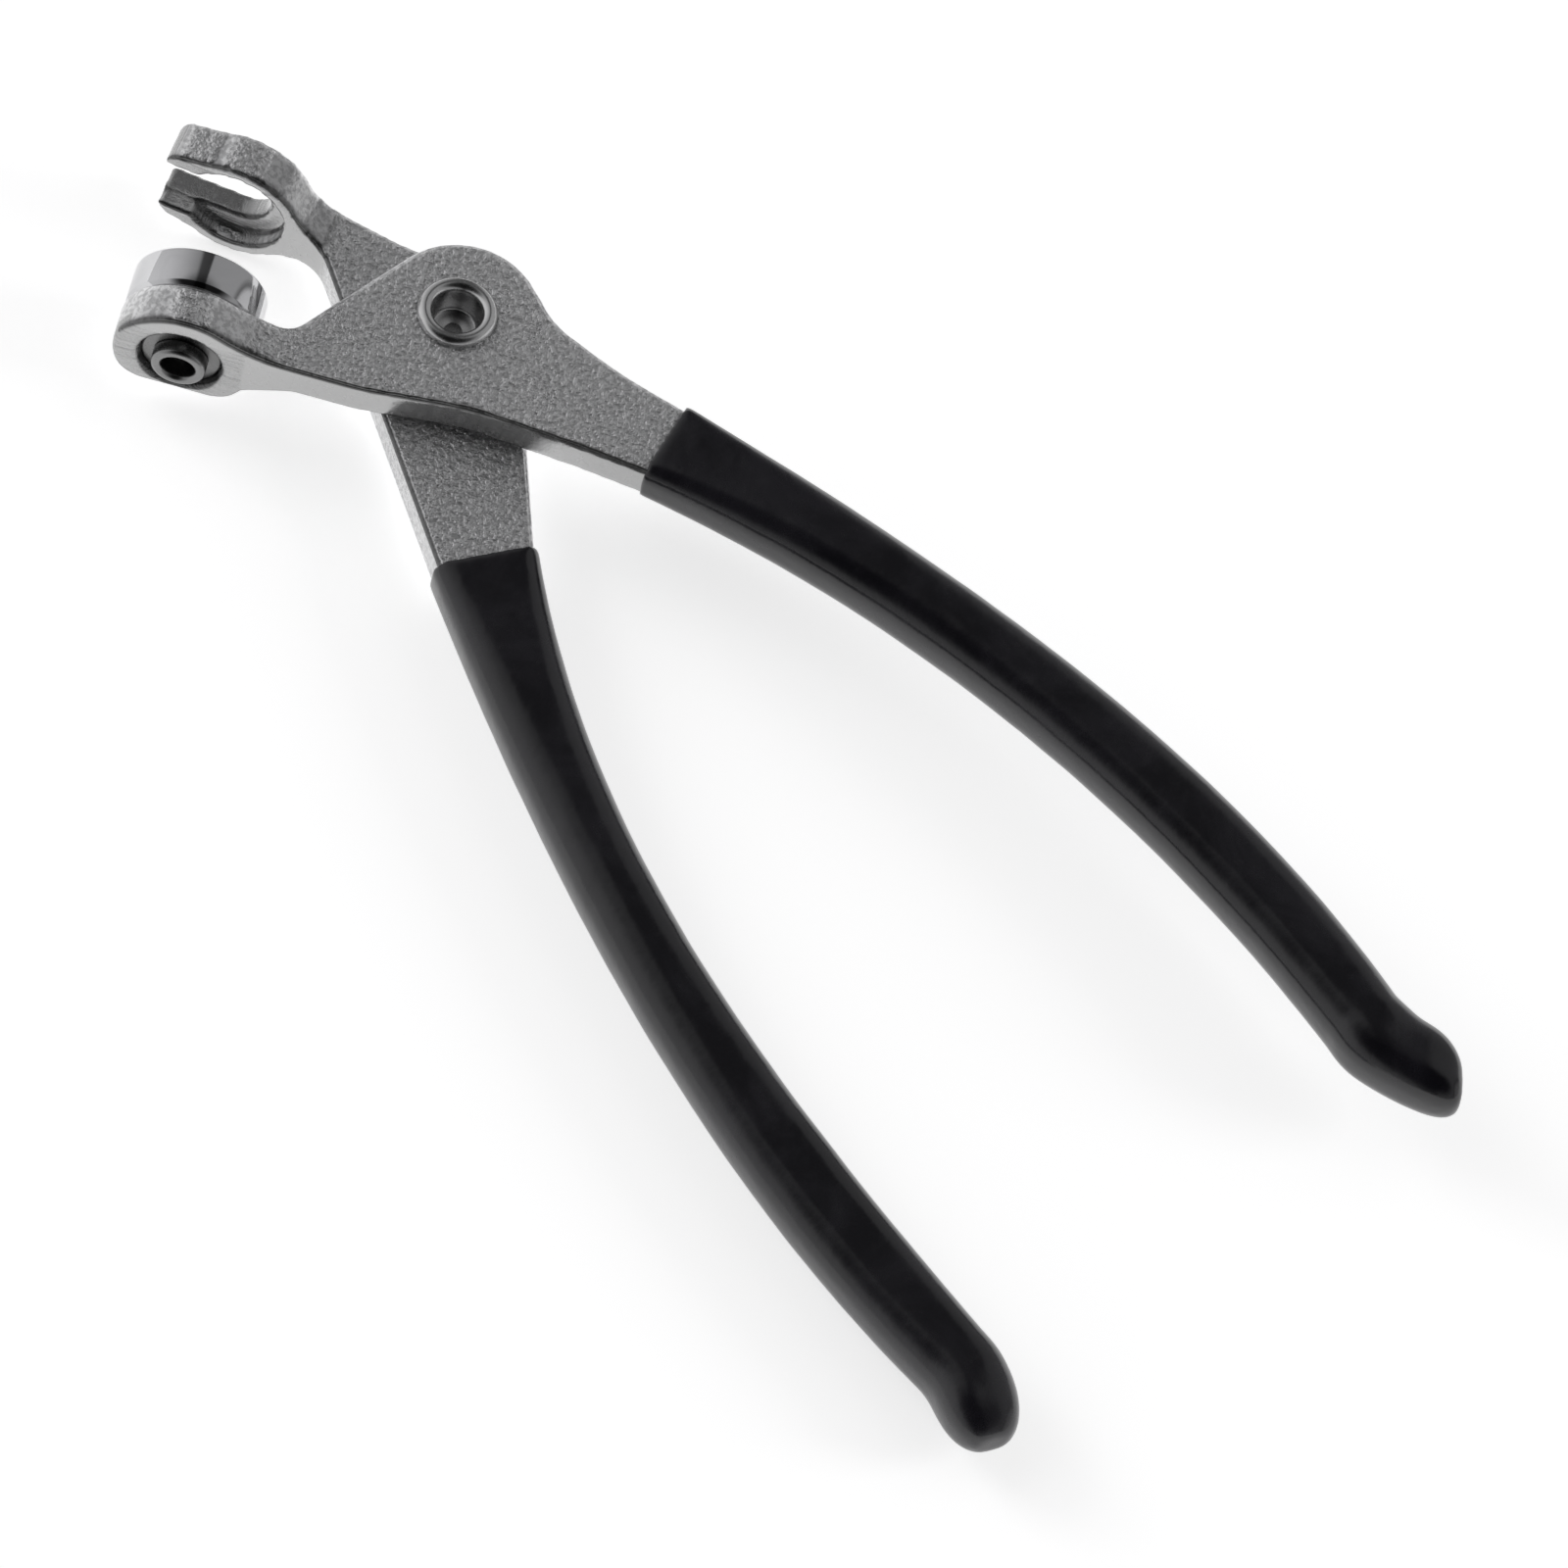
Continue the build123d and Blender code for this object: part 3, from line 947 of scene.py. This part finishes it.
@dataclass
class Studio:
    """A pale floor, soft boxes, a graded surround and the camera."""

    right: Vector = field(default_factory=lambda: Vector((0.9636, 0.2266, 0.1416)))
    up: Vector = field(default_factory=lambda: Vector((-0.2672, 0.8171, 0.5107)))
    aim: Vector = field(default_factory=lambda: Vector((56.24, -40.1, -23.9)) * MM)
    view_width: float = 200 * MM
    distance: float = 2.4
    sensor: float = 36.0
    floor_size: float = 8.0
    floor_gap: float = 0.02 * MM
    floor_glow: float = 0.66
    light_levels: tuple[tuple[float, float], ...] = (
        (0.0, 0.80),
        (0.166, 0.60),
        (0.40, 0.30),
        (0.44, 0.07),
        (0.555, 0.05),
        (0.563, 0.36),
        (0.90, 0.38),
        (0.93, 0.16),
        (0.95, 0.60),
        (1.0, 0.7),
    )
    lamps: tuple[Lamp, ...] = (
        Lamp("left_soft_box", (-1.0, 0.35, 0.55), 0.5, 2.6),
        Lamp("right_soft_box", (1.0, 0.15, 0.45), 0.35, 2.2),
    )

    def build(self) -> None:
        """Set up the floor, the light and the camera."""
        low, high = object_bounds()
        centre = (Vector(low) + Vector(high)) / 2
        self.floor(Vector(low).z, centre)
        self.surround()
        for lamp in self.lamps:
            lamp.build(centre)
        self.camera()

    def floor(self, height: float, centre: Vector) -> None:
        """Lay the pale floor under the tool.

        Args:
            height: The tool's lowest point.
            centre: The middle of the tool.
        """
        bpy.ops.object.select_all(action="DESELECT")
        place = (centre.x, centre.y, height - self.floor_gap)
        bpy.ops.mesh.primitive_plane_add(size=self.floor_size, location=place)
        sweep = bpy.context.active_object
        sweep.name = "studio_floor"
        material, g, on_floor = start_material("pale_floor")
        floor_spot = on_floor.outputs["Object"]
        cloud = g.add("ShaderNodeTexNoise", {"Vector": floor_spot, "Scale": 3.0, "Detail": 2.0})
        colour = g.tint(cloud.outputs[0], (0.86, 0.86, 0.86), (0.90, 0.90, 0.90))
        shader = g.add(
            "ShaderNodeBsdfPrincipled",
            {
                "Base Color": colour,
                "Roughness": 0.8,
                "Emission Color": (1, 1, 1, 1),
                "Emission Strength": self.floor_glow,
            },
        )
        g.add("ShaderNodeOutputMaterial", {"Surface": shader.outputs[0]})
        sweep.data.materials.append(material)
        sweep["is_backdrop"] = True

    def surround(self) -> None:
        """Grade the surround: light to the left and right, dark in the middle and on the viewer's side."""
        world = bpy.data.worlds.new("studio_surround")
        bpy.context.scene.world = world
        world.use_nodes = True
        g = Graph(world.node_tree)
        place = g.add("ShaderNodeTexCoord")
        spot = g.add("ShaderNodeSeparateXYZ", {0: place.outputs["Generated"]})
        across = g.math("MULTIPLY", g.math("ADD", spot.outputs["X"], 1.0), 0.5)
        ramp = g.add("ShaderNodeValToRGB", {0: across})
        ramp.color_ramp.interpolation = "LINEAR"
        points = ramp.color_ramp.elements
        while len(points) < len(self.light_levels):
            points.new(0.5)
        for point, (position, level) in zip(points, self.light_levels):
            point.position = position
            point.color = (level, level, level * 1.01, 1.0)
        toward = self.right.cross(self.up)
        sight = {0: place.outputs["Generated"], 1: toward}
        behind = g.add("ShaderNodeVectorMath", sight, operation="DOT_PRODUCT")
        dim = g.fade(behind.outputs["Value"], 0.60, 0.88, 1.0, 0.03)
        shade = g.add("ShaderNodeBackground", {"Color": ramp.outputs[0], "Strength": dim})
        g.add("ShaderNodeOutputWorld", {"Surface": shade.outputs[0]})

    def camera(self) -> None:
        """Stand the camera on the view's axis, with a long lens."""
        data = bpy.data.cameras.new("main_camera")
        data.sensor_width = self.sensor
        data.lens = self.sensor * self.distance / self.view_width
        data.clip_end = 50.0
        camera = bpy.data.objects.new("main_camera", data)
        toward = self.right.cross(self.up)
        turn = Matrix((self.right, self.up, toward)).transposed().to_4x4()
        camera.matrix_world = Matrix.Translation(self.aim + self.distance * toward) @ turn
        bpy.context.scene.collection.objects.link(camera)
        bpy.context.scene.camera = camera
        bpy.context.scene.view_settings.view_transform = "Standard"


# ----------------------------------------------------------------------------
# The tool
# ----------------------------------------------------------------------------


def build_levers(nodes: dict, effects: Effects) -> None:
    """Build the two castings and plate them.

    Args:
        nodes: The CAD nodes by name.
        effects: The shared effects.
    """
    low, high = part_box("setting_die")
    jaw_middle = (low.z + high.z) / 2
    jaw_axis_x = (low.x + high.x) / 2
    washer_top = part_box("die_washer")[1].y
    counterbore = CutRegion(end=high.x, half_depth=5.6 * MM, highest=washer_top + 0.3 * MM)
    slot = CutRegion(end=jaw_axis_x + 5.5 * MM, half_depth=6.9 * MM, lowest=high.y + 2 * MM)
    levers = (
        (Lever("die_lever", Side.DIE), CastPlating("die_lever_plating", counterbore, jaw_middle)),
        (Lever("fork_lever", Side.FORK, rounding=16), CastPlating("fork_lever_plating", slot, jaw_middle)),
    )
    for lever, plating in levers:
        settle(lever.build(nodes), lever.side, plating.build(effects), lever.node)


def build_turned_pieces(effects: Effects) -> None:
    """Turn the rivet, the die and its washer.

    Args:
        effects: The shared effects.
    """
    die_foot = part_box("setting_die")[1].y - SettingDie().height
    steel = (0.66, 0.66, 0.66)
    bright = TurnedPlating("rivet_plating", steel, (0.56, 0.56, 0.56), 0.22, 9000.0, 0.000002, "Z")
    chrome = (0.62, 0.62, 0.63)
    lathe = {"lines_per_metre": 16000.0, "line_depth": 0.0000012, "along": "Y"}
    polish = TurnedPlating(
        "die_polish", chrome, (0.56, 0.56, 0.57), 0.045, **lathe, dull_below=die_foot - 1.0 * MM
    )
    # The washer's near-black colour is painted shade and a painted dark reflection of the counterbore wall,
    # not the washer's own tone.
    dull = (0.20, 0.20, 0.20)
    stamped = TurnedPlating("washer_painted_shade_plating", dull, (0.14, 0.14, 0.14), 0.26, 7000.0, 0.000008, "X")
    pieces: tuple[tuple[Callable[[], bpy.types.Object], Finish, TurnedPlating, str], ...] = (
        (PivotRivet().build, Finish.RIVET, bright, "pivot_rivet"),
        (SettingDie().build, Finish.DIE, polish, "setting_die"),
        (DieWasher().build, Finish.RIVET, stamped, "die_washer"),
    )
    for make, finish, plating, node in pieces:
        settle(make(), Side.DIE, plating.build(effects), node)


def build_grips(nodes: dict, effects: Effects) -> None:
    """Dip both handles.

    Args:
        nodes: The CAD nodes by name.
        effects: The shared effects.
    """
    vinyl = DippedVinyl().build(effects)
    for grip in (Grip("die_lever_grip", Side.DIE), Grip("fork_lever_grip", Side.FORK)):
        settle(grip.build(nodes), grip.side, vinyl, grip.node)


def main() -> None:
    """Load the frame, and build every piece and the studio."""
    logging.basicConfig(level=logging.INFO, format="%(name)s %(message)s")
    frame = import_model()
    effects = Effects()
    build_levers(frame["nodes"], effects)
    build_turned_pieces(effects)
    build_grips(frame["nodes"], effects)
    Studio().build()


if __name__ == "__main__":
    main()
